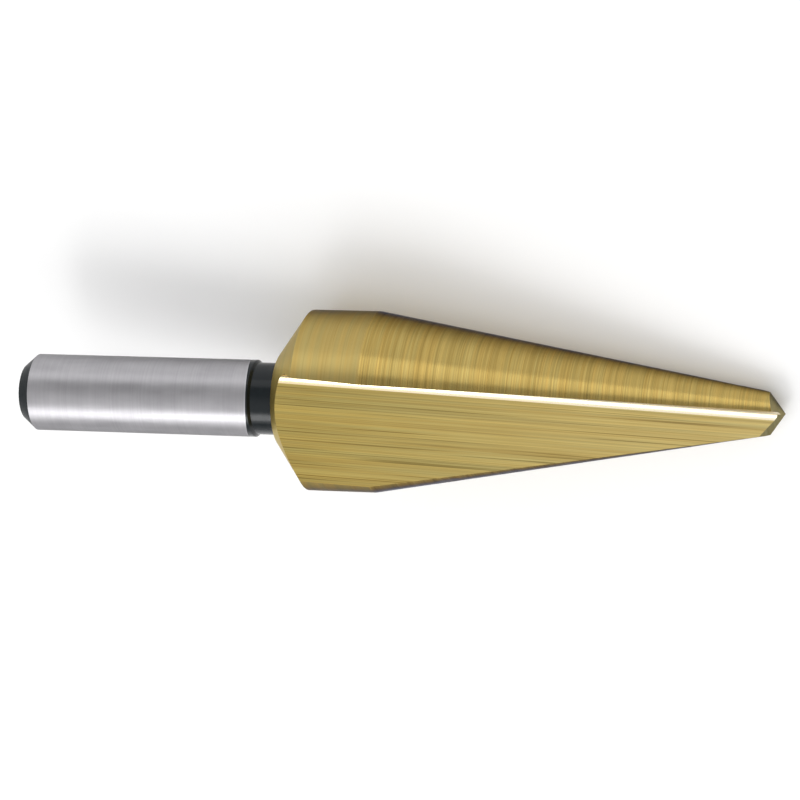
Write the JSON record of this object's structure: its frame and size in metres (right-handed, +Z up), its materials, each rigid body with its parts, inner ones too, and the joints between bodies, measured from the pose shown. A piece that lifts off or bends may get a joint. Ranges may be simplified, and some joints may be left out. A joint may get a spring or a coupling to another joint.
{
  "type": "cone drill bit",
  "caption": "Conical drill bit for opening and widening round holes in sheet and tube: a straight-fluted gold coated cone with a cutting point and a plain round steel shank.",
  "frame": {"origin": "on the surface that the bit lies on, under the centre of its bounding box", "axes": "+X along the lying bit towards its point, +Y to the left seen from the shank, +Z up"},
  "size_m": [0.06, 0.014, 0.012],
  "materials": {
    "coated_steel": "fine ground high speed steel with a gold coloured titanium nitride coating on the cone, bare steel on the shank"
  },
  "bodies": {
    "root": {"drill_bit": "coated_steel"}
  },
  "joints": []
}
